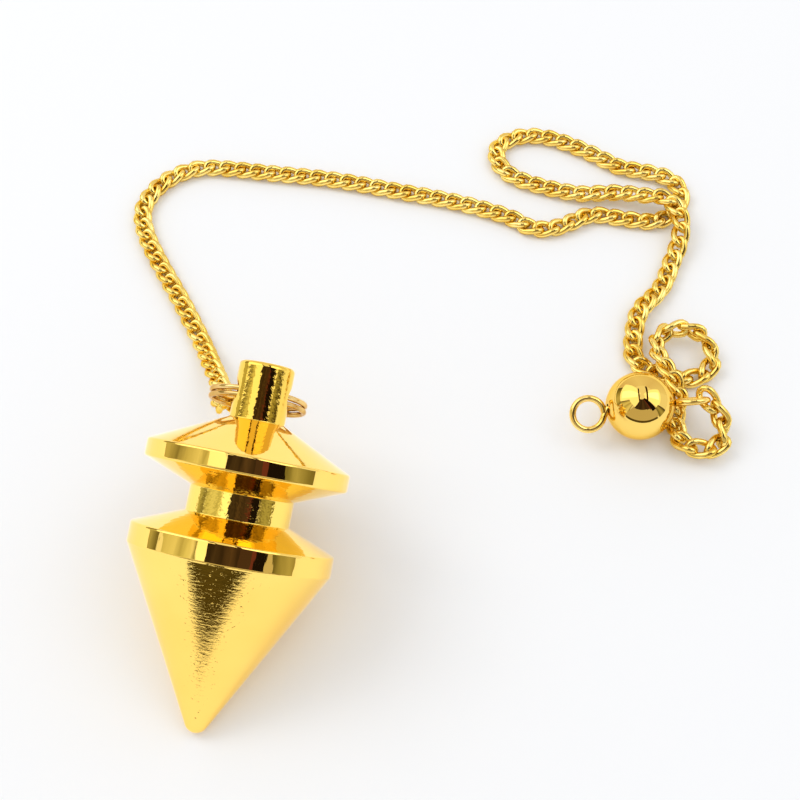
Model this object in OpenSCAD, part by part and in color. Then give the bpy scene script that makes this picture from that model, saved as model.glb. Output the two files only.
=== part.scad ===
// Dowsing pendulum pendant, lying on a table on the side of its cone.
// A turned bob hangs on a split ring, a curb chain and a ball on a double eye pin.
// Millimetres, +Z up. The camera side is -Y.

/* [Bob] */
// Diameter of the body rim and the disc rim
bob_d = 21.5; // [16:0.5:28]
// Height of the long cone, from its sharp apex to the body rim
cone_h = 19.7; // [14:0.1:26]
// Radius of the rounded tip
tip_r = 1.3; // [0.5:0.1:2.5]
// Height of the body rim band
body_rim_h = 2.1; // [1:0.1:4]
// Height of the bevel from the body rim in to the neck
body_bevel_h = 2.1; // [1:0.1:4]
// Diameter of the neck
neck_d = 11; // [8:0.5:14]
// Height of the neck
neck_h = 2.7; // [1:0.1:5]
// Height of the bevel from the neck out to the disc rim
disc_bevel_h = 2.1; // [1:0.1:4]
// Height of the disc rim band
disc_rim_h = 1.8; // [1:0.1:4]
// Height of the cone from the disc rim in to the stem
disc_cone_h = 3.8; // [2:0.1:6]

/* [Stem] */
// Diameter of the stem
stem_d = 5.9; // [5:0.1:8]
// Height of the stem
stem_h = 6.1; // [4.5:0.1:8]
// Rounding of the stem's top edge
stem_round = 0.5; // [0.1:0.1:1.2]
// Diameter of the cross hole for the ring
hole_d = 2.6; // [2.4:0.1:3]
// Distance from the stem's top down to the middle of the hole
hole_drop = 3.3; // [2:0.1:4]
// Turn of the hole about the stem, away from level
hole_turn = 17; // [0:1:40]

/* [Split ring] */
// Outside diameter of the ring
ring_od = 10.8; // [10:0.1:12]
// Thickness of the ring's wire
ring_wire = 0.62; // [0.5:0.02:0.7]
// Gap between the two coils
coil_gap = 0.08; // [0.04:0.01:0.12]
// Swing of the hanging ring, from square to the stem towards the tip
ring_swing = 6; // [0:1:12]

/* [Chain] */
// Distance from one link to the next
link_pitch = 2.08; // [2:0.02:2.16]
// Outside width of a link
link_w = 2.8; // [2.6:0.05:3]
// Thickness of the link wire
link_wire = 0.55; // [0.4:0.05:0.6]
// Free travel between two links
link_play = 0.47; // [0.3:0.01:0.55]
// Room between two wires that cross
link_room = 0.45; // [0.3:0.01:0.6]

/* [Ball and eye pin] */
// Diameter of the ball
ball_d = 8; // [7:0.1:9]
// Length of the ball along its bore, between the two small flats
ball_len = 7.6; // [6.6:0.1:8]
// Diameter of the bore
bore_d = 1.2; // [1:0.1:2]
// Thickness of the pin's wire
pin_wire = 0.7; // [0.5:0.05:0.8]
// Outside diameter of an eye loop
eye_od = 4.4; // [4:0.1:5]
// Gap between an eye loop and the ball
eye_gap = 0.15; // [0.1:0.05:0.5]

/* [Lay] */
// Width of the lying pendant, from the chain's left bend to its right bend
lay_w = 75; // [60:1:120]

/* [Hidden] */

bob_r = bob_d / 2;
lean = atan(bob_r / cone_h);
rim_z = cone_h + body_rim_h;
neck_z = rim_z + body_bevel_h;
under_z = neck_z + neck_h;
disc_z = under_z + disc_bevel_h;
disc_top_z = disc_z + disc_rim_h;
stem_z = disc_top_z + disc_cone_h;
top_z = stem_z + stem_h;
hole_z = top_z - hole_drop;

// The lay is drawn for this width. A wider one moves the bob left and the ball right, and stretches
// the chain's far run between its two ends
drawn_w = 75;
run_from = -27;
run_to = 12;
function spread(x) = x + (lay_w - drawn_w) * (min(max((x - run_from) / (run_to - run_from), 0), 1) - 0.5);

// Where things lie: the sharp apex of the cone, its heading from +Y towards +X, and the ball
apex = [spread(-24), -44, 0];
heading = 13.1;
ball_at = [spread(26), -5.2, ball_d / 2];
pin_yaw = 5.5;
eye_tilt = 55;

ring_r = (ring_od - ring_wire) / 2;
coil_step = ring_wire + coil_gap;
// The ring's arc bows this much inside the hole, half of it on each side of the hole's axis
ring_bow = ring_r - sqrt(ring_r * ring_r - stem_d * stem_d / 4);
ring_hang = ring_r - ring_bow / 2;
ring_sides = 6;
ring_steps = 44;
ring_split = 215;

link_a = (link_pitch + link_wire + link_play) / 2;
link_b = (link_w - link_wire) / 2;
link_lift = (link_wire + link_room) / 2;
link_steps = 12;
link_sides = 5;
bed_z = link_lift + link_wire / 2 + 0.025;

// The first link sits on the ring at this angle round from the hole
hook_turn = 155;

eye_r = (eye_od - pin_wire) / 2;
eye_x = ball_len / 2 + eye_gap + eye_od / 2;
// The free loop is bent to one side of the pin by this much
eye_side = 0.4;

function roll_x(v, a) = [v[0], v[1] * cos(a) - v[2] * sin(a), v[1] * sin(a) + v[2] * cos(a)];
function turn_z(v, a) = [v[0] * cos(a) - v[1] * sin(a), v[0] * sin(a) + v[1] * cos(a), v[2]];
function unit(v) = v / norm(v);
function from_bob(v) = apex + turn_z(roll_x(v, lean - 90), -heading);
function from_ring(v) = from_bob([0, 0, hole_z] + turn_z(roll_x(v, -ring_swing), hole_turn));
function from_pin(v) = ball_at + turn_z(v, pin_yaw);

// The first link sits round the ring's two coils, this far out from their middle line, and the chain
// leaves square to the ring for the length of the lead
hook_out = 0.3;
hook_lead = 3;
function ring_side(lead, turn) = let (r = ring_r + hook_out + lead,
        p = from_ring([-r * sin(hook_turn), ring_hang - r * cos(hook_turn), 0]))
    [p[0], p[1], p[2] - bed_z, turn];
eye_end = from_pin([eye_x + eye_r, 0, 0]);

// Points of the chain's lay: x, y, rise above the lying height, and turn of the link about its length
lay = [
    [-23, -3.1, 4.25, -20], [-25, 2.4, 1.75, -5], [-26.5, 6.4, 0.2, 0], [-29.7, 13.1, 0, 0],
    [-33.4, 20.1, 0, 0], [-35.5, 24.9, 0, 0], [-36.1, 28.9, 0, 0], [-34.5, 32.7, 0, 0],
    [-31.3, 35.3, 0, 0], [-27.3, 36.1, 0, 0], [-19.3, 35, 0, 0], [-10.8, 33.7, 0, 0],
    [-2.3, 31.6, 0, 0], [5.7, 29.5, 0, 0], [12.2, 27, 0, 0], [15.7, 24.9, 0, 0], [18.5, 24.9, 0, 0],
    [21.2, 26, 0.1, 0], [23.9, 27.1, 0, 0], [27.7, 26.4, 0, 0], [31.2, 25.9, 0, 0], [33.5, 26.6, 0, 0],
    [35.6, 29.2, 0, 0], [35.2, 32.7, 0, 0], [31.9, 34.5, 0.1, 0], [28.4, 35.5, 0, 0],
    [23.5, 38.8, 0, 0], [18.7, 41.2, 0, 0], [14.7, 41.4, 0, 0], [11.8, 39.5, 0, 0], [11.7, 36.6, 0, 0],
    [13.7, 33.9, 0.05, 0], [17.9, 32, 0, 0], [22.6, 30.6, 0.25, 0], [27.4, 30.3, 0.7, 0],
    [32.9, 28.4, 1.7, -5], [33.6, 27.7, 1.9, 0], [34.8, 25.4, 1.7, 0], [34.5, 22.1, 0.9, 0],
    [33.2, 18.9, 0.15, 0], [31.2, 14.5, 0.1, 0], [28.1, 10.7, 0.5, 0], [26.9, 6.4, 0.1, 0],
    [26.9, 3.6, 0, 0], [28.1, 2.1, 0.05, 0], [30.8, 0.9, 0, 0], [32.5, 0.8, 0.15, -10],
    [34.3, 0.9, 0.35, 15], [36.1, 2.7, 0.5, 35], [35.6, 5.2, 1.1, 66], [34.6, 6.8, 1.3, 86],
    [31.4, 7.4, 1, 107], [30, 6.2, 0.95, 122], [29.4, 4.6, 1.25, 130], [29.9, 1.4, 1.8, 160],
    [31, -0.8, 1.55, 156], [31.2, -4, 0.4, 156], [30.5, -5.5, 0.25, 175], [30.8, -7.9, 0.75, 171],
    [31.7, -9.5, 0.8, 183], [33.8, -9.8, 1.2, 206], [35.5, -8.8, 0.85, 225], [35.5, -6.5, 2.3, 287]
];
route = concat(
    [ring_side(0, -33), ring_side(hook_lead, -8)],
    [for (p = lay) [spread(p[0]), p[1], p[2], p[3]]],
    [[eye_end[0] + 0.25, eye_end[1] - 0.05, eye_end[2] - bed_z + 0.05, 340]]);

// A smooth curve through the route points
curve_steps = 12;
lifted = [for (p = route) p + [0, 0, bed_z, 0]];
last = len(route) - 1;
function point(i) = i < 0 ? 2 * lifted[0] - lifted[1]
    : i > last ? 2 * lifted[last] - lifted[last - 1] : lifted[i];
function smooth(p, q, r, s, t) =
    0.5 * (2 * q + (r - p) * t + (2 * p - 5 * q + 4 * r - s) * t * t + (3 * q - p - 3 * r + s) * t * t * t);
curve = [
    for (i = [0 : last - 1]) for (k = [0 : curve_steps - 1])
        smooth(point(i - 1), point(i), point(i + 1), point(i + 2), k / curve_steps),
    lifted[last]
];
function xyz(v) = [v[0], v[1], v[2]];
travel = [for (i = 0, s = 0; i < len(curve); i = i + 1, s = i < len(curve)
    ? s + norm(xyz(curve[i]) - xyz(curve[i - 1])) : s) s];
run = travel[len(travel) - 1];
link_count = round(run / link_pitch) + 1;
tables = [for (c = [0 : 3]) [for (i = [0 : len(curve) - 1]) [travel[i], curve[i][c]]]];
place = [for (i = [0 : link_count - 1]) [for (c = [0 : 3]) lookup(run * i / (link_count - 1), tables[c])]];
end_links = 26;

// A link's own axes: along the chain, across it, and out of its flat
function along(i) = unit(xyz(place[min(i + 1, link_count - 1)]) - xyz(place[max(i - 1, 0)]));
function level(t) = unit(cross([0, 0, 1], t));
function axes(i) = let (t = along(i), s = level(t), u = cross(t, s), a = place[i][3])
    [t, cos(a) * s + sin(a) * u, cos(a) * u - sin(a) * s];

// The link's wire follows an oval that is twisted about its length
function oval(t) = [link_a * cos(t), link_b * sin(t), -link_lift * sin(2 * t)];
function wire_point(i, j) = let (
        t = (i + 0.5) * 360 / link_steps, step = 180 / link_steps,
        dir = unit(oval(t + step) - oval(t - step)),
        side = unit(cross(dir, [0, 0, 1])), up = cross(side, dir), a = 360 * j / link_sides)
    oval(t) + link_wire / 2 * (cos(a) * side + sin(a) * up);
link_points = [for (i = [0 : link_steps - 1]) for (j = [0 : link_sides - 1]) wire_point(i, j)];
function link_index(i, j) = (i % link_steps) * link_sides + j % link_sides;
link_faces = [
    for (i = [0 : link_steps - 1]) for (j = [0 : link_sides - 1]) for (half = [0, 1])
        half == 0 ? [link_index(i, j), link_index(i + 1, j), link_index(i + 1, j + 1)]
            : [link_index(i, j), link_index(i + 1, j + 1), link_index(i, j + 1)]
];

module links(first, last) {
    size = link_steps * link_sides;
    polyhedron(
        points = [for (n = [first : last]) let (m = axes(n)) for (p = link_points)
            xyz(place[n]) + p[0] * m[0] + p[1] * m[1] + p[2] * m[2]],
        faces = [for (n = [first : last]) for (f = link_faces)
            [f[0] + (n - first) * size, f[1] + (n - first) * size, f[2] + (n - first) * size]],
        convexity = 10);
}

// The wire of the split ring: nearly two turns, with the step between the coils at the split
ring_turns = 2 - 24 / 360;
function coil_z(a) = coil_step * (min(max((a - 345) / 30, 0), 1) - 0.5);
function coil_at(i) = let (a = 12 + 360 * ring_turns * i / ring_steps)
    [-ring_r * sin(a + ring_split), ring_hang - ring_r * cos(a + ring_split), coil_z(a)];
function coil_point(i, j) = let (
        a = 12 + 360 * ring_turns * i / ring_steps + ring_split, b = 360 * j / ring_sides,
        r = ring_wire / 2 * cos(b))
    coil_at(i) + [-r * sin(a), -r * cos(a), ring_wire / 2 * sin(b)];
coil_points = [for (i = [0 : ring_steps]) for (j = [0 : ring_sides - 1]) coil_point(i, j)];
function coil_index(i, j) = i * ring_sides + j % ring_sides;
coil_faces = concat(
    [for (i = [0 : ring_steps - 1]) for (j = [0 : ring_sides - 1]) for (half = [0, 1])
        half == 0 ? [coil_index(i, j), coil_index(i + 1, j + 1), coil_index(i + 1, j)]
            : [coil_index(i, j), coil_index(i, j + 1), coil_index(i + 1, j + 1)]],
    [for (j = [1 : ring_sides - 2]) [0, j + 1, j]],
    [for (j = [1 : ring_sides - 2])
        [coil_index(ring_steps, 0), coil_index(ring_steps, j), coil_index(ring_steps, j + 1)]]);

module on_bob() {
    translate(apex) rotate([0, 0, -heading]) rotate([lean - 90, 0, 0]) children();
}

module on_pin() {
    translate(ball_at) rotate([0, 0, pin_yaw]) children();
}

// The bob's outline, from the tip up to the stem, without its rounded edges
module outline() {
    polygon([[0, 0], [bob_r, cone_h], [bob_r, rim_z], [neck_d / 2, neck_z], [neck_d / 2, under_z],
        [bob_r, disc_z], [bob_r, disc_top_z], [stem_d / 2, stem_z], [stem_d / 2, top_z], [0, top_z]]);
}

module tip_cut() {
    // The corner of the cone beyond the circle that touches its flank
    touch = tip_r / tan(lean) * cos(lean);
    difference() {
        translate([-1, -1]) square([1 + tip_r * 2, 1 + touch]);
        translate([0, tip_r / sin(lean)]) circle(tip_r, $fn = 96);
    }
}

module stem_cut() {
    translate([stem_d / 2 - stem_round, top_z - stem_round]) difference() {
        square(stem_round + 1);
        circle(stem_round, $fn = 48);
    }
}

module bob() {
    color("gold") on_bob() difference() {
        rotate_extrude($fn = 180) difference() {
            outline();
            tip_cut();
            stem_cut();
        }
        translate([0, 0, hole_z]) rotate([0, 0, hole_turn]) rotate([0, 90, 0])
            cylinder(d = hole_d, h = stem_d + 2, center = true, $fn = 48);
    }
}

module split_ring() {
    color("tan") on_bob() translate([0, 0, hole_z]) rotate([0, 0, hole_turn]) rotate([-ring_swing, 0, 0])
        polyhedron(points = coil_points, faces = coil_faces, convexity = 6);
}

module chain() {
    color("goldenrod") links(0, link_count - end_links - 1);
}

module chain_end() {
    color("goldenrod") links(link_count - end_links, link_count - 1);
}

module ball() {
    color("gold") on_pin() rotate([0, 90, 0]) difference() {
        intersection() {
            sphere(d = ball_d, $fn = 96);
            cylinder(d = ball_d + 2, h = ball_len, center = true, $fn = 96);
        }
        cylinder(d = bore_d, h = ball_d + 2, center = true, $fn = 48);
    }
}

module eye(tilt, side = 0) {
    rotate([tilt, 0, 0]) translate([0, -side, 0])
        rotate_extrude($fn = 72) translate([eye_r, 0]) circle(d = pin_wire, $fn = 24);
}

module eye_pin() {
    color("gold") on_pin() {
        rotate([0, 90, 0]) cylinder(d = pin_wire, h = 2 * (eye_x - eye_r), center = true, $fn = 24);
        translate([eye_x, 0, 0]) eye(-eye_tilt);
        translate([-eye_x, 0, 0]) eye(90 - eye_tilt, eye_side);
    }
}

bob();
split_ring();
chain();
chain_end();
ball();
eye_pin();
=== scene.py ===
import bpy
import numpy as np
from mathutils import Matrix, Vector


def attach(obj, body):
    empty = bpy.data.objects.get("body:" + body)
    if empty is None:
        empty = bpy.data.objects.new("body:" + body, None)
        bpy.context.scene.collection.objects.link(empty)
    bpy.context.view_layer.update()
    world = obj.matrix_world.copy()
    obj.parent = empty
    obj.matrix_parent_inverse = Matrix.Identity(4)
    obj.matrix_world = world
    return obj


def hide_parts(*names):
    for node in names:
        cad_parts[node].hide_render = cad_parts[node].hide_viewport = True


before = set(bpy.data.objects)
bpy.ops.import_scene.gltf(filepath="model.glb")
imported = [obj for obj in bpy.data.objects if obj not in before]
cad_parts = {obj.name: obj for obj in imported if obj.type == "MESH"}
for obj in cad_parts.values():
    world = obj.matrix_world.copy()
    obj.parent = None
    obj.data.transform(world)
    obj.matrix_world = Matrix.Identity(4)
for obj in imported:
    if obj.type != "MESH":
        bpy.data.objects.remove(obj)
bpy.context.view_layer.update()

# All shapes are worked out in millimetres and put into their meshes in metres
mm = 0.001
# Corners of a piece that agree to one part in this many of a millimetre are one vertex
weldPerMm = 2e4


def cosd(angle):
    return np.cos(np.radians(angle))


def sind(angle):
    return np.sin(np.radians(angle))


def rollX(points, angle):
    # turns points about X
    x, y, z = np.moveaxis(np.asarray(points, float), -1, 0)
    return np.stack([x, y * cosd(angle) - z * sind(angle), y * sind(angle) + z * cosd(angle)], -1)


def turnZ(points, angle):
    # turns points about Z
    x, y, z = np.moveaxis(np.asarray(points, float), -1, 0)
    return np.stack([x * cosd(angle) - y * sind(angle), x * sind(angle) + y * cosd(angle), z], -1)


def unit(vectors):
    return vectors / np.maximum(np.linalg.norm(vectors, axis=-1, keepdims=True), 1e-12)


# A patch is a grid of points with the outward normal at each, and a piece is a list of patches


def closedAround(points, normals):
    # a patch whose last column runs on into its first
    return tuple(np.concatenate([a, a[:, :1]], 1) for a in (points, normals))


def latheGrid(profile, profileNormals, angles):
    # a profile of radius and height, carried round Z
    c, s = cosd(angles)[:, None], sind(angles)[:, None]
    return tuple(np.stack([a[:, 0] * c, a[:, 0] * s, a[:, 1] + 0 * c], -1) for a in (profile, profileNormals))


def pathRun(path):
    # the direction of an open path at each of its points
    return unit(np.gradient(path, axis=0))


def wireGrid(path, run, spoke, wireD, sides):
    # a round wire: each point of the path plus the wire's radius times a direction that turns in the plane of
    # the spoke and of the line square to both spoke and run
    other = np.cross(run, spoke)
    a = np.linspace(0, 360, sides + 1)[:, None]
    looks = cosd(a) * spoke[:, None] + sind(a) * other[:, None]
    return path[:, None] + wireD / 2 * looks, looks


def wireEnds(points, path):
    # flat caps on an open wire
    caps = []
    for end, way in ((0, path[0] - path[1]), (-1, path[-1] - path[-2])):
        rim = points[end]
        middle = np.broadcast_to(path[end], rim.shape)
        caps.append((np.stack([rim, middle]), np.broadcast_to(unit(way), (2,) + rim.shape)))
    return caps


def patchCorners(points, normals):
    # the four corners of each cell of a patch, turned so that the face looks the way its normals do
    def corners(a):
        return np.stack([a[:-1, :-1], a[1:, :-1], a[1:, 1:], a[:-1, 1:]], 2).reshape(-1, 4, 3)

    spots, looks = corners(points), corners(normals)
    face = np.cross(spots[:, 2] - spots[:, 0], spots[:, 3] - spots[:, 1])
    wrong = (face * looks.sum(1)).sum(-1) < 0
    spots[wrong], looks[wrong] = spots[wrong][:, ::-1], looks[wrong][:, ::-1]
    return spots, looks


def makePiece(name, patches, nodes, material):
    # welds the patches into one closed mesh with the exact normals of their formulas
    parts = [patchCorners(*patch) for patch in patches]
    spots = np.concatenate([p[0] for p in parts])
    looks = np.concatenate([p[1] for p in parts])
    places = spots.reshape(-1, 3)
    cells = np.round(places * weldPerMm).astype(np.int64)
    keys, index = np.unique(cells, axis=0, return_inverse=True)
    index = index.reshape(-1, 4)
    vertices = np.zeros((len(keys), 3))
    vertices[index.ravel()] = places
    # a corner that falls on the one before it is dropped, which leaves triangles at the poles
    keep = index != np.roll(index, 1, 1)
    solid = keep.sum(1) >= 3
    keep, index, looks = keep[solid], index[solid], looks[solid]
    counts = keep.sum(1)
    mesh = bpy.data.meshes.new(name)
    mesh.vertices.add(len(vertices))
    mesh.vertices.foreach_set("co", (vertices * mm).ravel())
    mesh.loops.add(int(counts.sum()))
    mesh.loops.foreach_set("vertex_index", index[keep])
    mesh.polygons.add(len(counts))
    mesh.polygons.foreach_set("loop_start", np.concatenate([[0], np.cumsum(counts)[:-1]]))
    mesh.polygons.foreach_set("use_smooth", np.ones(len(counts), bool))
    mesh.update(calc_edges=True)
    mesh.validate()
    mesh.normals_split_custom_set(unit(looks[keep]).tolist())
    mesh.materials.append(material)
    piece = bpy.data.objects.new(name, mesh)
    bpy.context.scene.collection.objects.link(piece)
    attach(piece, "root")
    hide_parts(*nodes)
    print(name, len(counts), "faces")


def linear(hexText):
    # sRGB hex to linear
    c = np.array([int(hexText[i:i + 2], 16) for i in (1, 3, 5)]) / 255
    return [*np.where(c <= 0.04045, c / 12.92, ((c + 0.055) / 1.055) ** 2.4).tolist(), 1.0]


def addNode(tree, kind, settings=None, links=None, output=0):
    # settings name a property or an input, or give the stops of a ramp; links name an input and give the
    # socket that feeds it, if there is one; what comes back is the socket of the output asked for
    node = tree.nodes.new(kind)
    for key, value in (settings or {}).items():
        if key == "stops":
            elements = node.color_ramp.elements
            while len(elements) < len(value):
                elements.new(0.5)
            for element, (place, colour) in zip(elements, value):
                element.position, element.color = place, colour
        elif isinstance(key, int) or key in node.inputs:
            node.inputs[key].default_value = value
        else:
            setattr(node, key, value)
    for key, socket in (links or {}).items():
        if socket:
            tree.links.new(socket, node.inputs[key])
    return node.outputs[output] if len(node.outputs) else None


def newMaterial(name):
    material = bpy.data.materials.new(name)
    material.use_nodes = True
    tree = material.node_tree
    tree.nodes.clear()
    return material, tree


# The colour sockets of a mix node go by number, as several of its sockets share each name
mixFirst, mixSecond, mixResult = 6, 7, 2


def grainPattern(tree, vector, lengths, detail=2.0, roughness=0.5):
    # noise whose grains have the given lengths in mm along the three axes
    stretched = addNode(tree, "ShaderNodeMapping", {"Scale": [1 / (v * mm) for v in lengths]},
                        {"Vector": vector})
    return addNode(tree, "ShaderNodeTexNoise", {"Scale": 1.0, "Detail": detail, "Roughness": roughness},
                   {"Vector": stretched})


def ownAxes(tree, place, turn=(0, 0, 0)):
    # the piece's own axes, from where they stand in the frame
    coords = addNode(tree, "ShaderNodeTexCoord", output="Object")
    settings = {"vector_type": "TEXTURE", "Location": [v * mm for v in place],
                "Rotation": [float(np.radians(v)) for v in turn]}
    return addNode(tree, "ShaderNodeMapping", settings, {"Vector": coords})


def goldTone(tree, vector, look):
    # the plating's colour, which drifts between a deep and a light tone
    tone = grainPattern(tree, vector, [look["toneSize"]] * 3)
    deepBelow, lightAbove = 0.35, 0.65
    stops = [(deepBelow, linear(look["deep"])), (lightAbove, linear(look["light"]))]
    return addNode(tree, "ShaderNodeValToRGB", {"stops": stops}, {"Fac": tone})


def goldSurface(tree, look, links):
    # a metal whose reflection takes the tint named edge where it is seen at a slant
    settings = {"Metallic": 1.0, "Roughness": look["roughness"], "Specular Tint": linear(look["edge"])}
    gold = addNode(tree, "ShaderNodeBsdfPrincipled", settings, links)
    addNode(tree, "ShaderNodeOutputMaterial", links={"Surface": gold})


def wireGold(name, look):
    # Gold-plated drawn wire: bright, a little uneven in tone along its length, with a soft polish. Its real
    # grain is finer: this one is as coarse as it needs to show
    material, tree = newMaterial(name)
    coords = addNode(tree, "ShaderNodeTexCoord", output="Object")
    fine = grainPattern(tree, coords, [look["fineSize"]] * 3, detail=3.0)
    normal = addNode(tree, "ShaderNodeBump",
                     {"Strength": look["fineStrength"], "Distance": look["fineDepth"] * mm}, {"Height": fine})
    goldSurface(tree, look, {"Base Color": goldTone(tree, coords, look), "Normal": normal})
    return material


# In its own axes the bob stands on the sharp apex of its cone, with Z up its stem, and in the frame it lies.
# Its look has a tone of its own for the groove between the rims, and one for the stem
bob = dict(
    apex=(-24, -44, 0), heading=13.1, diameter=21.5, coneH=19.7, bodyRimH=2.1, bodyBevelH=2.1, neckD=11,
    neckH=2.7, discBevelH=2.1, discRimH=1.8, discConeH=3.8, stemD=5.9, stemH=6.1, tipR=1.3, rimRound=0.32,
    innerRound=0.12, stemRound=0.5, holeD=2.6, holeDrop=3.3, holeTurn=17, holeRound=0.12, bandFoot=0.15,
    steps=dict(around=240, tip=13, corner=6, top=9, bandUp=28, bandRows=14, rowGrowth=1.3, mouth=4),
    look=dict(light="#F7D36F", deep="#F7CD67", groove="#F7D66C", stem="#EFC858", edge="#FFF8E6", toneSize=9,
              roughness=0.03, bevelRoughness=0.06, brushLength=0.8, brushWidth=0.24, brushDepth=0.01,
              speckSize=0.34, speckDepth=0.009, speckFrom=0.66, speckFull=0.8, waveSize=1.3, waveStretch=4,
              waveDepth=0.03, upperWaves=0.2, grainSize=0.4, grainDepth=0.022, blend=0.1))
bobSteps = bob["steps"]
bobR, neckR, stemR = bob["diameter"] / 2, bob["neckD"] / 2, bob["stemD"] / 2
lean = float(np.degrees(np.arctan(bobR / bob["coneH"])))
coneTop, bodyRimTop, bodyBevelTop, neckTop, discBevelTop, discRimTop, stemFoot, topZ = np.cumsum([
    bob[part] for part in ("coneH", "bodyRimH", "bodyBevelH", "neckH", "discBevelH", "discRimH", "discConeH",
                           "stemH")]).tolist()
holeZ = topZ - bob["holeDrop"]
bobTurn = (lean - 90, 0, -bob["heading"])


def turnBob(vectors):
    # directions in the bob's own axes to directions in the frame
    return turnZ(rollX(vectors, bobTurn[0]), bobTurn[2])


def fromBob(points):
    return np.array(bob["apex"]) + turnBob(points)


def roundedProfile(corners, radii, steps):
    # a broken line with an arc of the given radius at each corner, in radius and height, and its normals
    corners = np.asarray(corners, float)
    points, normals = [], []
    for i, here in enumerate(corners):
        before = unit(here - corners[i - 1]) if i else None
        after = unit(corners[i + 1] - here) if i + 1 < len(corners) else None
        if before is None or after is None or radii[i] == 0:
            for way in (before, after):
                if way is not None:
                    points.append(here[None])
                    normals.append(np.array([[way[1], -way[0]]]))
            continue
        bend = np.arctan2(before[0] * after[1] - before[1] * after[0], before @ after)
        side = np.sign(bend)
        reach = radii[i] * np.tan(abs(bend) / 2)
        inward = np.array([-before[1], before[0]]) * side
        centre = here - before * reach + inward * radii[i]
        angles = np.linspace(0, bend, steps + 1)[:, None]
        spoke = -inward * np.cos(angles) + np.array([inward[1], -inward[0]]) * np.sin(angles)
        points.append(centre + radii[i] * spoke)
        normals.append(side * spoke)
    return np.concatenate(points), np.concatenate(normals)


def bobBody(angles):
    # the round tip, whose ball touches the cone, then the rims, bevels and neck up to the foot of the stem
    tip = np.linspace(-90, -lean, bobSteps["tip"] + 1)
    tipNormals = np.stack([cosd(tip), sind(tip)], -1)
    tipPoints = bob["tipR"] * tipNormals + [0, bob["tipR"] / sind(lean)]
    rim, inner = bob["rimRound"], bob["innerRound"]
    corners = [tipPoints[-1], (bobR, coneTop), (bobR, bodyRimTop), (neckR, bodyBevelTop), (neckR, neckTop),
               (bobR, discBevelTop), (bobR, discRimTop), (stemR, stemFoot),
               (stemR, stemFoot + bob["bandFoot"])]
    body, bodyNormals = roundedProfile(corners, [0, rim, rim, inner, inner, rim, rim, inner, 0],
                                       bobSteps["corner"])
    return latheGrid(np.concatenate([tipPoints, body]), np.concatenate([tipNormals, bodyNormals]), angles)


def stemTop(angles):
    # a quarter circle over the stem's edge, then a flat to the middle
    arc = np.linspace(0, 90, bobSteps["top"] + 1)
    arcNormals = np.stack([cosd(arc), sind(arc)], -1)
    arcPoints = bob["stemRound"] * arcNormals + [stemR - bob["stemRound"], topZ - bob["stemRound"]]
    return latheGrid(np.concatenate([arcPoints, [[0, topZ]]]), np.concatenate([arcNormals, [[0, 1]]]), angles)


def stemBand():
    # two half cylinders, each a grid whose rows run from the hole's edge out to the band's border
    low, high = stemFoot + bob["bandFoot"], topZ - bob["stemRound"]
    half, side = bobSteps["around"] // 2, bobSteps["bandUp"]
    across, up = np.linspace(-90, 90, half + 1), np.linspace(low, high, side + 1)
    border = np.concatenate([
        np.stack([across[:-1], np.full(half, low)], -1), np.stack([np.full(side, 90.0), up[:-1]], -1),
        np.stack([across[:0:-1], np.full(half, high)], -1), np.stack([np.full(side, -90.0), up[:0:-1]], -1)])
    way = np.arctan2(border[:, 1] - holeZ, np.radians(border[:, 0]) * stemR)
    holeR, edge = bob["holeD"] / 2, bob["holeRound"]
    brinkY = (holeR + edge) * np.cos(way)
    brink = np.stack([np.degrees(np.arcsin(brinkY / stemR)), holeZ + (holeR + edge) * np.sin(way)], -1)
    share = np.linspace(0, 1, bobSteps["bandRows"] + 1)[:, None, None] ** bobSteps["rowGrowth"]
    flat = brink * (1 - share) + border * share
    # the rounded mouth of the hole, and its wall as far as the middle of the stem
    mouth = np.radians(np.linspace(0, 90, bobSteps["mouth"] + 1))[:, None]
    r = holeR + edge * (1 - np.sin(mouth))
    y, rise = r * np.cos(way), r * np.sin(way)
    surfaceX = np.sqrt(stemR ** 2 - y ** 2)
    lips = np.stack([surfaceX - edge * (1 - np.cos(mouth)), y, holeZ + rise], -1)
    outwards = np.stack([surfaceX / stemR, y / stemR, 0 * y], -1)
    inwards = np.stack([0 * y, -np.cos(way) + 0 * y, -np.sin(way) + 0 * y], -1)
    lipLooks = unit(np.cos(mouth)[..., None] * outwards + np.sin(mouth)[..., None] * inwards)
    wall, wallLooks = np.stack([lips[-1], lips[-1] * [0, 1, 1]]), np.stack([inwards[-1]] * 2)
    patches = []
    for turn in (bob["holeTurn"], bob["holeTurn"] + 180):
        theta, z = flat[..., 0] + turn, flat[..., 1]
        patches += [closedAround(np.stack([stemR * cosd(theta), stemR * sind(theta), z], -1),
                                 np.stack([cosd(theta), sind(theta), 0 * z], -1)),
                    closedAround(turnZ(lips, turn), turnZ(lipLooks, turn)),
                    closedAround(turnZ(wall, turn), turnZ(wallLooks, turn))]
    return patches


def bobPatches():
    angles = np.linspace(0, 360, bobSteps["around"] + 1) + bob["holeTurn"] - 90
    return [(fromBob(p), turnBob(n)) for p, n in [bobBody(angles), stemTop(angles)] + stemBand()]


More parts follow.
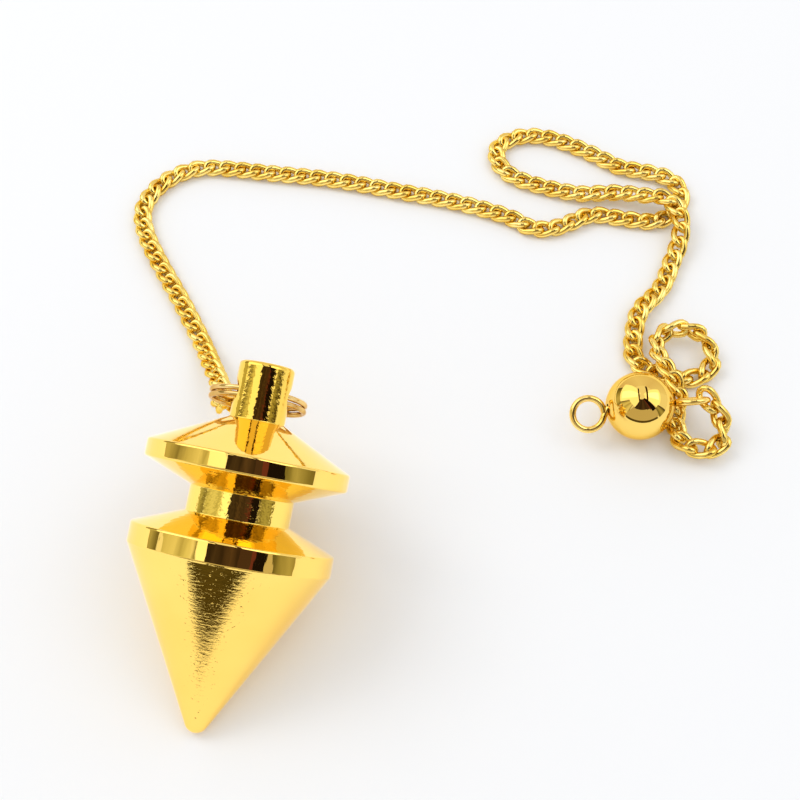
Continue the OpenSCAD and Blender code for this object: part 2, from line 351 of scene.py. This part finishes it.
def turnedGold(name, look, place, turn):
    # Gold plate over brass that was turned and polished. It mirrors the room, broken up by fine marks that
    # run round the cone, by soft waves on the rims and by a grain on the neck and the stem, where the
    # polishing wheel doesn't reach, and it is duller on the two bevels beside the neck. Real marks are
    # finer: these are drawn as coarse as they need to show
    material, tree = newMaterial(name)
    own = ownAxes(tree, place, turn)
    height = addNode(tree, "ShaderNodeSeparateXYZ", links={"Vector": own}, output="Z")
    blend = look["blend"]

    def steps(*pairs):
        # the product of one step a pair, each 0 at its first height and 1 at its second
        share = None
        for start, end in pairs:
            step = addNode(tree, "ShaderNodeMapRange", {"From Min": start * mm, "From Max": end * mm},
                           {"Value": height})
            if share:
                step = addNode(tree, "ShaderNodeMath", {"operation": "MULTIPLY"}, {0: share, 1: step})
            share = step
        return share

    def zone(low, high):
        # 1 between two heights of the bob, and 0 below and above
        return steps((low - blend, low + blend), (high + blend, high - blend))

    onCone = steps((coneTop + blend, coneTop - 3 * blend))
    onStem = steps((stemFoot - 2 * blend, stemFoot))
    # soft waves from the body's rim to the disc's, and weak ones above
    aboveDisc = steps((discRimTop - blend, discRimTop + blend))
    waved = addNode(tree, "ShaderNodeMath", {"operation": "MULTIPLY_ADD", 1: look["upperWaves"]},
                    {0: aboveDisc, 2: zone(coneTop - blend, discRimTop)})
    grained = addNode(tree, "ShaderNodeMath", {"operation": "ADD"},
                      {0: zone(bodyBevelTop, neckTop), 1: onStem})
    dull = addNode(tree, "ShaderNodeMath", {"operation": "ADD"},
                   {0: zone(bodyRimTop, bodyBevelTop), 1: zone(neckTop, discBevelTop)})
    brush = grainPattern(tree, own, (look["brushLength"], look["brushLength"], look["brushWidth"]),
                         detail=3.0, roughness=0.6)
    speck = addNode(tree, "ShaderNodeMapRange",
                    {"From Min": look["speckFrom"], "From Max": look["speckFull"]},
                    {"Value": grainPattern(tree, own, [look["speckSize"]] * 3, detail=1.0)})
    wave = grainPattern(tree, own, [look["waveSize"] * v for v in (1, 1, look["waveStretch"])])
    grain = grainPattern(tree, own, [look["grainSize"]] * 3)
    normal = None
    for pattern, where, depth in ((brush, onCone, look["brushDepth"]), (speck, onCone, look["speckDepth"]),
                                  (wave, waved, look["waveDepth"]), (grain, grained, look["grainDepth"])):
        raised = addNode(tree, "ShaderNodeMath", {"operation": "MULTIPLY"}, {0: pattern, 1: where})
        normal = addNode(tree, "ShaderNodeBump", {"Strength": 1.0, "Distance": depth * mm},
                         {"Height": raised, "Normal": normal})
    roughness = addNode(tree, "ShaderNodeMapRange",
                        {"To Min": look["roughness"], "To Max": look["bevelRoughness"]}, {"Value": dull})
    colour = goldTone(tree, own, look)
    for where, tone in ((zone(bodyRimTop, discBevelTop), look["groove"]), (onStem, look["stem"])):
        colour = addNode(tree, "ShaderNodeMix", {"data_type": "RGBA", mixSecond: linear(tone)},
                         {0: where, mixFirst: colour}, mixResult)
    goldSurface(tree, look, {"Base Color": colour, "Roughness": roughness, "Normal": normal})
    return material


makePiece("turnedBob", bobPatches(), ["bob"],
          turnedGold("goldPlateTurned", bob["look"], bob["apex"], bobTurn))

# The split ring hangs through the cross hole: its own axes have Z along the line through both coils
ring = dict(
    diameter=10.8, wire=0.62, gap=0.08, swing=6, split=215, endGap=24, stepFrom=345, stepOver=30, steps=220,
    sides=14,
    look=dict(light="#E6C684", deep="#BE9350", edge="#F0DDBE", toneSize=2.5, fineSize=0.3, fineDepth=0.02,
              fineStrength=0.1, roughness=0.12))
ringR = (ring["diameter"] - ring["wire"]) / 2
# the middle of the coils lies this far out from the middle of the cross hole
ringHang = ringR - (ringR - np.sqrt(ringR ** 2 - stemR ** 2)) / 2


def turnRing(vectors):
    # directions in the ring's own axes to directions in the bob's
    return turnZ(rollX(vectors, -ring["swing"]), bob["holeTurn"])


def fromRing(points):
    return fromBob(turnRing(points) + np.array([0, 0, holeZ]))


def ringPatches():
    # nearly two turns of wire, which steps from the first coil to the second near the split
    a = ring["endGap"] / 2 + (720 - ring["endGap"]) * np.linspace(0, 1, ring["steps"] + 1)
    rise = np.clip((a - ring["stepFrom"]) / ring["stepOver"], 0, 1) - 0.5
    turn = a + ring["split"]
    path = np.stack([-ringR * sind(turn), ringHang - ringR * cosd(turn),
                     (ring["wire"] + ring["gap"]) * rise], -1)
    run = pathRun(path)
    points, looks = wireGrid(path, run, unit(np.cross(run, [0, 0, 1])), ring["wire"], ring["sides"])
    patches = [(points, looks)] + wireEnds(points, path)
    return [(fromRing(p), turnBob(turnRing(n))) for p, n in patches]


makePiece("coiledSplitRing", ringPatches(), ["split_ring"],
          wireGold("goldPlateSpringWire", ring["look"]))

# The ball is turned about the pin's line
bead = dict(
    diameter=8, length=7.6, bore=1.2, around=160, upright=89,
    look=dict(light="#EEC969", deep="#E9C362", edge="#F8E4B4", toneSize=9, roughness=0.02, waveSize=3,
              waveStretch=4, waveDepth=0.008))
# The pin's wire is bent into an eye at each end: the right one holds the chain, the left one is free
eyePin = dict(
    ball=(26, -5.2, 4), yaw=5.5, tilt=55, wire=0.78, cadWire=0.7, eyeD=4.4, gap=0.15, side=0.4, bend=0.45,
    loopFrom=166, loopTo=-180, loopPoints=60, straightPoints=24, sides=14,
    look=dict(light="#FADC88", deep="#EBC35E", edge="#F3D588", toneSize=3, fineSize=0.5, fineDepth=0.02,
              fineStrength=0.08, roughness=0.14))
eyeR = (eyePin["eyeD"] - eyePin["cadWire"]) / 2
eyeX = bead["length"] / 2 + eyePin["gap"] + eyePin["eyeD"] / 2


def turnPin(vectors):
    return turnZ(vectors, eyePin["yaw"])


def fromPin(points):
    return np.array(eyePin["ball"]) + turnPin(points)


# The links' wire is drawn thicker than in the solids, and the lowest point of a link stays clear of the table
chain = dict(
    pitch=2.08, width=2.5, wire=0.82, cadWire=0.55, play=0.2, room=0.45, bedGap=0.025, clear=0.03,
    hookTurn=155, hookOut=0.3, hookLead=3, firstTurns=(-33, -8), lastShift=(0.25, -0.05, 0.05), lastTurn=340,
    curvePoints=12, steps=18, sides=8,
    look=dict(light="#F9E088", deep="#E9C45E", edge="#F3D588", toneSize=2.2, fineSize=0.35, fineDepth=0.02,
              fineStrength=0.15, roughness=0.14))
linkA = (chain["pitch"] + chain["wire"] + chain["play"]) / 2
linkB = (chain["width"] - chain["wire"]) / 2
bedZ = chain["cadWire"] + chain["room"] / 2 + chain["bedGap"]
linkLift = bedZ - chain["clear"] - chain["wire"] / 2
# the lay, point by point: x, y and rise above the lying height in metres, and turn of the link in degrees
lay = np.array([
    [-0.023, -0.0031, 0.00425, -20], [-0.025, 0.0024, 0.00175, -5], [-0.0265, 0.0064, 0.0002, 0],
    [-0.0297, 0.0131, 0, 0], [-0.0334, 0.0201, 0, 0], [-0.0355, 0.0249, 0, 0], [-0.0361, 0.0289, 0, 0],
    [-0.0345, 0.0327, 0, 0], [-0.0313, 0.0353, 0, 0], [-0.0273, 0.0361, 0, 0], [-0.0193, 0.035, 0, 0],
    [-0.0108, 0.0337, 0, 0], [-0.0023, 0.0316, 0, 0], [0.0057, 0.0295, 0, 0], [0.0122, 0.027, 0, 0],
    [0.0157, 0.0249, 0, 0], [0.0185, 0.0249, 0, 0], [0.0212, 0.026, 0.0001, 0], [0.0239, 0.0271, 0, 0],
    [0.0277, 0.0264, 0, 0], [0.0312, 0.0259, 0, 0], [0.0335, 0.0266, 0, 0], [0.0356, 0.0292, 0, 0],
    [0.0352, 0.0327, 0, 0], [0.0319, 0.0345, 0.0001, 0], [0.0284, 0.0355, 0, 0], [0.0235, 0.0388, 0, 0],
    [0.0187, 0.0412, 0, 0], [0.0147, 0.0414, 0, 0], [0.0118, 0.0395, 0, 0], [0.0117, 0.0366, 0, 0],
    [0.0137, 0.0339, 0.00005, 0], [0.0179, 0.032, 0, 0], [0.0226, 0.0306, 0.00025, 0],
    [0.0274, 0.0303, 0.0007, 0], [0.0329, 0.0284, 0.0017, -5], [0.0336, 0.0277, 0.0019, 0],
    [0.0348, 0.0254, 0.0017, 0], [0.0345, 0.0221, 0.0009, 0], [0.0332, 0.0189, 0.00015, 0],
    [0.0312, 0.0145, 0.0001, 0], [0.0281, 0.0107, 0.0005, 0], [0.0269, 0.0064, 0.0001, 0],
    [0.0269, 0.0036, 0, 0], [0.0281, 0.0021, 0.00005, 0], [0.0308, 0.0009, 0, 0],
    [0.0325, 0.0008, 0.00015, -10], [0.0343, 0.0009, 0.00035, 15], [0.0361, 0.0027, 0.0005, 35],
    [0.0356, 0.0052, 0.0011, 66], [0.0346, 0.0068, 0.0013, 86], [0.0314, 0.0074, 0.001, 107],
    [0.03, 0.0062, 0.00095, 122], [0.0294, 0.0046, 0.00125, 130], [0.0299, 0.0014, 0.0018, 160],
    [0.031, -0.0008, 0.00155, 156], [0.0312, -0.004, 0.0004, 156], [0.0305, -0.0055, 0.00025, 175],
    [0.0308, -0.0079, 0.00075, 171], [0.0317, -0.0095, 0.0008, 183], [0.0338, -0.0098, 0.0012, 206],
    [0.0355, -0.0088, 0.00085, 225], [0.0355, -0.0065, 0.0023, 287]
])


def chainRoute():
    # the lay in mm, from the coils of the split ring to the far side of the near eye
    def ringSide(lead, turn):
        r = ringR + chain["hookOut"] + lead
        spot = fromRing([-r * sind(chain["hookTurn"]), ringHang - r * cosd(chain["hookTurn"]), 0])
        return [*spot, turn]

    hooked = [ringSide(lead, turn) for lead, turn in zip((0, chain["hookLead"]), chain["firstTurns"])]
    eyeEnd = fromPin([eyeX + eyeR, 0, 0]) + chain["lastShift"]
    return np.concatenate([hooked, lay / [mm, mm, mm, 1] + [0, 0, bedZ, 0], [[*eyeEnd, chain["lastTurn"]]]])


def linkPlaces(route):
    # a smooth curve through the route, with the links' middles at equal steps along it
    full = np.concatenate([[2 * route[0] - route[1]], route, [2 * route[-1] - route[-2]]])
    p, q, r, s = (full[i:len(full) - 3 + i][:, None] for i in range(4))
    t = (np.arange(chain["curvePoints"]) / chain["curvePoints"])[None, :, None]
    curve = 0.5 * (2 * q + (r - p) * t + (2 * p - 5 * q + 4 * r - s) * t ** 2
                   + (3 * q - p - 3 * r + s) * t ** 3)
    curve = np.concatenate([curve.reshape(-1, 4), route[-1:]])
    travel = np.concatenate([[0], np.cumsum(np.linalg.norm(np.diff(curve[:, :3], axis=0), axis=1))])
    count = int(np.floor(travel[-1] / chain["pitch"] + 0.5)) + 1
    at = np.linspace(0, travel[-1], count)
    return np.stack([np.interp(at, travel, column) for column in curve.T], -1)


def chainPatches():
    # one link: an oval whose wire rises and dips twice round, so that the links lie flat in each other
    t = (np.arange(chain["steps"]) + 0.5) * 360 / chain["steps"]
    oval = np.stack([linkA * cosd(t), linkB * sind(t), -linkLift * sind(2 * t)], -1)
    run = unit(np.roll(oval, -1, 0) - np.roll(oval, 1, 0))
    link = wireGrid(oval, run, unit(np.cross(run, [0, 0, 1])), chain["wire"], chain["sides"])
    points, looks = (np.concatenate([a, a[:1]]) for a in link)
    # each link lies along the chain, turned about it
    place = linkPlaces(chainRoute())
    spot, turn = place[:, :3], place[:, 3:]
    ahead, behind = np.concatenate([spot[1:], spot[-1:]]), np.concatenate([spot[:1], spot[:-1]])
    along = unit(ahead - behind)
    level = unit(np.cross([0, 0, 1], along))
    up = np.cross(along, level)
    axes = np.stack([along, cosd(turn) * level + sind(turn) * up, cosd(turn) * up - sind(turn) * level], 1)
    return [(middle + points @ turned, looks @ turned) for middle, turned in zip(spot, axes)]


makePiece("curbChain", chainPatches(), ["chain", "chain_end"],
          wireGold("goldPlateLinks", chain["look"]))


def ballPatches():
    # a sphere with a small flat at each end, and its bore
    r, half, boreR = bead["diameter"] / 2, bead["length"] / 2, bead["bore"] / 2
    edge = np.degrees(np.arccos(half / r))
    a = np.linspace(edge, 180 - edge, bead["upright"] + 1)
    sphereLooks = np.stack([sind(a), -cosd(a)], -1)
    flat, flatLooks = np.array([[boreR, -half], [r * sind(edge), -half]]), np.array([[0, -1], [0, -1]])
    bore, boreLooks = np.array([[boreR, half], [boreR, -half]]), np.array([[-1, 0], [-1, 0]])
    angles = np.linspace(0, 360, bead["around"] + 1)
    patches = [latheGrid(p, n, angles) for p, n in (
        (r * sphereLooks, sphereLooks), (flat, flatLooks), (flat[::-1] * [1, -1], -flatLooks),
        (bore, boreLooks))]
    pinAlongX = [2, 0, 1]
    return [(fromPin(p[..., pinAlongX]), turnPin(n[..., pinAlongX])) for p, n in patches]


def polishedGold(name, look, place):
    # Gold plate over a polished hollow ball: a clear mirror with the soft waves of pressed metal
    material, tree = newMaterial(name)
    own = ownAxes(tree, place)
    wave = grainPattern(tree, own, [look["waveSize"] * v for v in (1, 1, look["waveStretch"])])
    normal = addNode(tree, "ShaderNodeBump", {"Strength": 1.0, "Distance": look["waveDepth"] * mm},
                     {"Height": wave})
    goldSurface(tree, look, {"Base Color": goldTone(tree, own, look), "Normal": normal})
    return material


makePiece("polishedBall", ballPatches(), ["ball"],
          polishedGold("goldPlateBall", bead["look"], eyePin["ball"]))


def handedOn(run, hint):
    # a spoke square to the first run and to the hint, handed on from point to point without twisting
    spoke = np.zeros_like(run)
    spoke[0] = unit(np.cross(run[0], hint))
    for i in range(1, len(run)):
        spoke[i] = unit(spoke[i - 1] - run[i] * (spoke[i - 1] @ run[i]))
    return spoke


def pinPatches():
    # the wire: nearly a whole circle at each end, each in its tilted plane, and a line through the ball
    def loop(tilt, side, way):
        a = np.linspace(eyePin["loopFrom"], eyePin["loopTo"], eyePin["loopPoints"])
        circle = np.stack([eyeR * cosd(a), way * eyeR * sind(a) - side, 0 * a], -1)
        return (rollX(circle, tilt) + [eyeX, 0, 0]) * [way, 1, 1]

    right, left = loop(-eyePin["tilt"], 0, 1), loop(90 - eyePin["tilt"], eyePin["side"], -1)
    reach = eyeX - eyeR - eyePin["bend"]
    straight = np.linspace([-reach, 0, 0], [reach, 0, 0], eyePin["straightPoints"])
    path = np.concatenate([left[::-1], straight, right])
    run = pathRun(path)
    offTheRun = [0.1, 0.2, 1]
    points, looks = wireGrid(path, run, handedOn(run, offTheRun), eyePin["wire"], eyePin["sides"])
    return [(fromPin(p), turnPin(n)) for p, n in [(points, looks)] + wireEnds(points, path)]


makePiece("doubleEyePin", pinPatches(), ["eye_pin"], wireGold("goldPlatePin", eyePin["look"]))

# The studio: white paper and a white world. The photograph is overexposed, so the gold shows both of them
# brighter, by the factor named inGold, than they can look themselves
studio = dict(floor="#F8F9FB", floorHalf=1200, world=0.84, worldColour="#FFFFFF", centre=(-5, -15, 10),
              inGold=1.27, cardCells=(12, 8))
# bearings in degrees round from the camera's side, with the right positive, and upwards; lengths in mm
softboxes = dict(
    leftSoftbox=dict(across=-112, up=50, reach=1000, size=500, energy=2.1, colour="#FFFFFF"),
    rightSoftbox=dict(across=95, up=60, reach=1000, size=450, energy=0.6, colour="#FFFFFF"))
# The room that the gold mirrors: each card's distance, then the left bearing, the right bearing and the
# height of its lower and its upper edge, and its brightness. Several colours follow from left to right
roomCards = dict(
    leftWall=dict(reach=700, low=(-140, -88, -7), high=(-140, -90, 17), glow=1,
                  colour=("#4F4A28", "#8F8A5F", "#B9B58C", "#D3CFAA", "#C9C59E", "#77724A")),
    leftBlind=dict(reach=690, low=(-96, -48, 17), high=(-84, -52, 49), glow=1,
                   colour=("#5C5733", "#D8D4AC", "#F6F3D2", "#C7C297", "#EFECC5", "#FFFDE8", "#8C8659")),
    leftWindow=dict(reach=700, low=(-150, -95, 17), high=(-165, -84, 80), colour="#FFFEF7", glow=1.6),
    leftPane=dict(reach=690, low=(-126, -104, 24), high=(-140, -92, 76), colour="#FFFFFF", glow=2.2),
    backWall=dict(reach=710, low=(112, 248, -2), high=(112, 248, 50), glow=1,
                  colour=("#FFFDF6", "#F3E8DE", "#FFF8F0", "#EFE0D4", "#FFFAF2")),
    ceiling=dict(reach=705, low=(-90, -36, 49), high=(-90, -30, 84), colour="#FFFEF7", glow=1.5),
    rightWindow=dict(reach=700, low=(62, 122, 28), high=(55, 140, 80), colour="#FFFEF3", glow=1.6),
    rightPane=dict(reach=690, low=(88, 112, 34), high=(84, 120, 74), colour="#FFFFFF", glow=2.6),
    greyScreen=dict(reach=640, low=(-56, 62, 5), high=(-44, 58, 46), colour="#D4CBBC", glow=1),
    lowShade=dict(reach=630, low=(-47, 52, -3), high=(-52, 50, 6), colour="#5C5230", glow=1),
    rightScreen=dict(reach=620, low=(56, 80, -1), high=(56, 71, 32), glow=1,
                     colour=("#6B663F", "#9E996E", "#BDB88F", "#959065", "#3E3A20")),
    screenEdge=dict(reach=610, low=(77, 81, -4), high=(70, 73, 26), colour="#595038", glow=1),
    topFlag=dict(reach=560, low=(-38, 22, 44), high=(-27, 20, 80), glow=1,
                 colour=("#2A211C", "#4C3E36", "#392D27", "#5A473D", "#3A2D28")),
    redStrip=dict(reach=555, low=(36, 42, 38), high=(22, 34, 80), colour="#6F3A3C", glow=1),
    blackFlag=dict(reach=550, low=(42, 57, 30), high=(34, 60, 80), colour="#1D1616", glow=1),
    brownFlag=dict(reach=548, low=(22, 37, 42), high=(20, 26, 80), colour="#4D3A35", glow=1))
# two dark rails overhead: x of both sides, then y of both ends
rails = dict(height=600, colour="#4A3418", glow=1, places=((-110, -62, -230, 330), (160, 226, -330, 430)))
# a dark sheet lying on the paper on the camera's side, which only the gold sees, in rows from far to near: x
# of its two sides, and y
darkFrontSheet = dict(height=0.5, colour="#4A4224", glow=1,
                  rows=((-600, 300, -700), (-176, 150, -215), (-90, 60, -185)))


def glowMaterial(name, look):
    # an unlit card in one colour, or in several with even steps from its left side to its right
    material, tree = newMaterial(name)
    settings, links = {"Strength": look["glow"]}, {}
    if isinstance(look["colour"], str):
        settings["Color"] = linear(look["colour"])
    else:
        across = addNode(tree, "ShaderNodeAttribute", {"attribute_name": "across"}, output="Fac")
        stops = [(i / (len(look["colour"]) - 1), linear(c)) for i, c in enumerate(look["colour"])]
        links["Color"] = addNode(tree, "ShaderNodeValToRGB", {"stops": stops}, {"Fac": across})
    light = addNode(tree, "ShaderNodeEmission", settings, links)
    addNode(tree, "ShaderNodeOutputMaterial", links={"Surface": light})
    return material


def stageGrid(name, points, material):
    # a sheet from a grid of points, which keeps each point's share of the way across
    rows, columns = points.shape[:2]
    number = np.arange(rows * columns).reshape(rows, columns)
    faces = np.stack([number[:-1, :-1], number[1:, :-1], number[1:, 1:], number[:-1, 1:]], -1).reshape(-1, 4)
    mesh = bpy.data.meshes.new(name)
    mesh.from_pydata((points.reshape(-1, 3) * mm).tolist(), [], faces.tolist())
    share = mesh.attributes.new("across", "FLOAT", "POINT")
    share.data.foreach_set("value", np.tile(np.linspace(0, 1, columns), rows))
    mesh.materials.append(material)
    sheet = bpy.data.objects.new(name, mesh)
    bpy.context.scene.collection.objects.link(sheet)
    return sheet


def goldCard(name, points, material):
    # a sheet that only the gold sees
    sheet = stageGrid(name, points, material)
    sheet.visible_camera = sheet.visible_diffuse = sheet.visible_shadow = False


def bearing(across, up):
    return np.stack([sind(across) * cosd(up), -cosd(across) * cosd(up), sind(up)], -1)


def flatSheet(left, right, near, far, height):
    return np.array([[[x, y, height] for x in (left, right)] for y in (near, far)], float)


def domePoints(card):
    # a patch of a sphere round the pendant between two bearings, which lean from its lower to its upper edge
    u, v = np.meshgrid(*(np.linspace(0, 1, cells + 1) for cells in studio["cardCells"]))
    left, right, up = (low * (1 - v) + high * v for low, high in zip(card["low"], card["high"]))
    return np.array(studio["centre"]) + card["reach"] * bearing(left * (1 - u) + right * u, up)


for cardName, card in roomCards.items():
    goldCard(cardName, domePoints(card), glowMaterial(cardName, card))
darkFrontCorners = np.array([[[left, y, darkFrontSheet["height"]], [right, y, darkFrontSheet["height"]]]
                     for left, right, y in darkFrontSheet["rows"]], float)
goldCard("darkFrontSheet", darkFrontCorners, glowMaterial("darkFrontSheet", darkFrontSheet))
railDark = glowMaterial("rail", rails)
for number, place in enumerate(rails["places"], 1):
    goldCard("rail%d" % number, flatSheet(*place, rails["height"]), railDark)


def paperMaterial(name, hexText):
    # Smooth white paper: matt, with no grain that shows
    material, tree = newMaterial(name)
    seenInGold = addNode(tree, "ShaderNodeLightPath", output="Is Glossy Ray")
    white = linear(hexText)
    brighter = [v * studio["inGold"] for v in white]
    shown = addNode(tree, "ShaderNodeMix", {"data_type": "RGBA", mixFirst: white, mixSecond: brighter},
                    {0: seenInGold}, mixResult)
    matt = addNode(tree, "ShaderNodeBsdfDiffuse", links={"Color": shown})
    addNode(tree, "ShaderNodeOutputMaterial", links={"Surface": matt})
    return material


half = studio["floorHalf"]
stageGrid("floor", flatSheet(-half, half, -half, half, 0), paperMaterial("palePaper", studio["floor"]))

world = bpy.data.worlds.new("softStudio")
bpy.context.scene.world = world
world.use_nodes = True
background = world.node_tree.nodes["Background"]
background.inputs["Color"].default_value = linear(studio["worldColour"])
seenInGold = addNode(world.node_tree, "ShaderNodeLightPath", output="Is Glossy Ray")
strength = addNode(world.node_tree, "ShaderNodeMapRange",
                   {"To Min": studio["world"], "To Max": studio["world"] * studio["inGold"]},
                   {"Value": seenInGold})
world.node_tree.links.new(strength, background.inputs["Strength"])

for boxName, box in softboxes.items():
    lamp = bpy.data.lights.new(boxName, "AREA")
    lamp.energy, lamp.size, lamp.color = box["energy"], box["size"] * mm, linear(box["colour"])[:3]
    softbox = bpy.data.objects.new(boxName, lamp)
    bpy.context.scene.collection.objects.link(softbox)
    aim = Vector(box["reach"] * bearing(box["across"], box["up"]) * mm)
    softbox.matrix_world = (Matrix.Translation(Vector(studio["centre"]) * mm + aim)
                            @ aim.to_track_quat("Z", "Y").to_matrix().to_4x4())
    softbox.visible_glossy = False
print("studio", len(roomCards) + len(rails["places"]) + 1, "cards,", len(softboxes), "softboxes")

# The camera of the photograph, worked out from the ellipses of the bob's rims: it looks along Y, and down by
# the pitch
view = dict(place=(-2.1, -87.55, 132.2), pitch=56.93, roll=0.51, focalPx=1300, picturePx=800, filmMm=36,
            clipMetres=(0.002, 20))
forward = np.array([0, cosd(view["pitch"]), -sind(view["pitch"])])
sideways = np.array([1.0, 0, 0])
downward = np.cross(forward, sideways)
pictureRight = cosd(view["roll"]) * sideways + sind(view["roll"]) * downward
pictureDown = cosd(view["roll"]) * downward - sind(view["roll"]) * sideways
cameraData = bpy.data.cameras.new("camera")
cameraData.sensor_width = view["filmMm"]
cameraData.lens = view["focalPx"] / view["picturePx"] * view["filmMm"]
cameraData.clip_start, cameraData.clip_end = view["clipMetres"]
camera = bpy.data.objects.new("camera", cameraData)
bpy.context.scene.collection.objects.link(camera)
cameraTurn = Matrix(np.stack([pictureRight, -pictureDown, -forward], 1).tolist()).to_4x4()
camera.matrix_world = Matrix.Translation([v * mm for v in view["place"]]) @ cameraTurn
bpy.context.scene.camera = camera
bpy.context.scene.view_settings.view_transform = "Standard"
print("camera at", view["place"])

bpy.context.view_layer.update()
